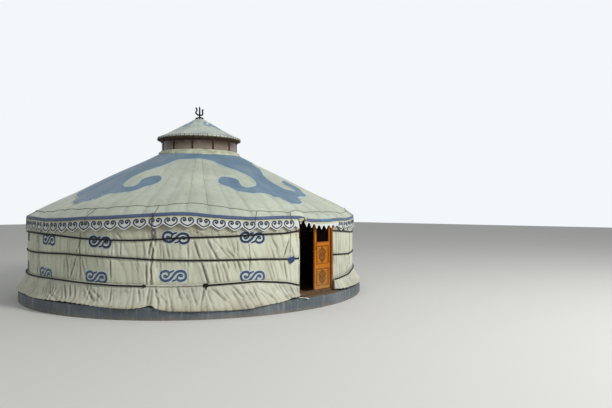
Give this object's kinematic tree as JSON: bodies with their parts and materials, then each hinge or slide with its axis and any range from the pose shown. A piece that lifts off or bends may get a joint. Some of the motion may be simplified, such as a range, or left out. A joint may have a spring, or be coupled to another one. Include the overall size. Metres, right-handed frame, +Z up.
{
  "type": "yurt",
  "caption": "Large round felt tent on a low round plinth, with a conical roof, a glazed crown under a pointed cap, and a double-leaf wooden door.",
  "frame": {"origin": "centre of the plinth's underside", "axes": "+Z up, the doorway faces -Y"},
  "size_m": [8.4204, 8.4204, 4.7842],
  "materials": {
    "canvas_wall": "matt woven canvas",
    "canvas_roof": "matt woven canvas",
    "valance_cloth": "matt woven canvas with sewn scrolls",
    "blue_band": "matt woven band",
    "cap_canvas": "matt woven canvas",
    "lattice_wood": "oiled",
    "pole_wood": "painted and worn",
    "painted_render": "weathered paint over render",
    "floor_wood": "worn boards",
    "sill_wood": "dusty, worn",
    "frame_wood": "varnished",
    "door_wood": "varnished",
    "window_glass": "clear",
    "crown_glass": "dusty",
    "crown_wood": "dark stain",
    "black_iron": "forged, blackened",
    "black_rope": "braided horsehair",
    "brown_cord": "twisted",
    "blue_scarf": "satin weave"
  },
  "bodies": {
    "yurt": {"cap_cover": "cap_canvas", "cap_disc": "cap_canvas", "cap_rim": "crown_wood", "crown_base_ring": "crown_wood", "crown_panes": "crown_glass", "crown_posts": "crown_wood", "crown_ring": "pole_wood", "crown_top_ring": "crown_wood", "door_head": "frame_wood", "door_hinges": "black_iron", "door_jamb_left": "frame_wood", "door_jamb_right": "frame_wood", "door_sill": "sill_wood", "door_step": "sill_wood", "eave_band": "blue_band", "finial": "black_iron", "floor_boards": "floor_wood", "girth_rope_bottom": "black_rope", "girth_rope_middle": "black_rope", "girth_rope_top": "black_rope", "lashing_cord": "brown_cord", "lattice_1": "lattice_wood", "lattice_2": "lattice_wood", "lattice_3": "lattice_wood", "lattice_4": "lattice_wood", "plinth": "painted_render", "roof_collar": "canvas_roof", "roof_cover_1": "canvas_roof", "roof_cover_2": "canvas_roof", "roof_cover_3": "canvas_roof", "roof_cover_4": "canvas_roof", "roof_poles": "pole_wood", "scarf": "blue_scarf", "skirt_1": "canvas_wall", "skirt_2": "canvas_wall", "skirt_3": "canvas_wall", "skirt_4": "canvas_wall", "valance": "valance_cloth", "wall_cover_1": "canvas_wall", "wall_cover_2": "canvas_wall", "wall_cover_3": "canvas_wall", "wall_cover_4": "canvas_wall", "wall_cover_5": "canvas_wall", "wall_cover_6": "canvas_wall", "wall_cover_7": "canvas_wall", "wall_cover_8": "canvas_wall"},
    "left_leaf": {"door_leaf_left_frame": "door_wood", "door_leaf_left_panels": "door_wood", "door_leaf_left_pane": "window_glass", "door_leaf_left_pull": "black_iron"},
    "right_leaf": {"door_leaf_right_frame": "door_wood", "door_leaf_right_panels": "door_wood", "door_leaf_right_pane": "window_glass", "door_leaf_right_pull": "black_iron"}
  },
  "joints": [
    {"name": "left_leaf_hinge", "type": "hinge", "parent": "yurt", "child": "left_leaf", "pos_m": [-0.5545, -3.8677, 0.32], "axis": [0, 0, 1], "range_deg": [-90, 10]},
    {"name": "right_leaf_hinge", "type": "hinge", "parent": "yurt", "child": "right_leaf", "pos_m": [0.5545, -3.8677, 0.32], "axis": [0, 0, -1], "range_deg": [0, 100]}
  ]
}
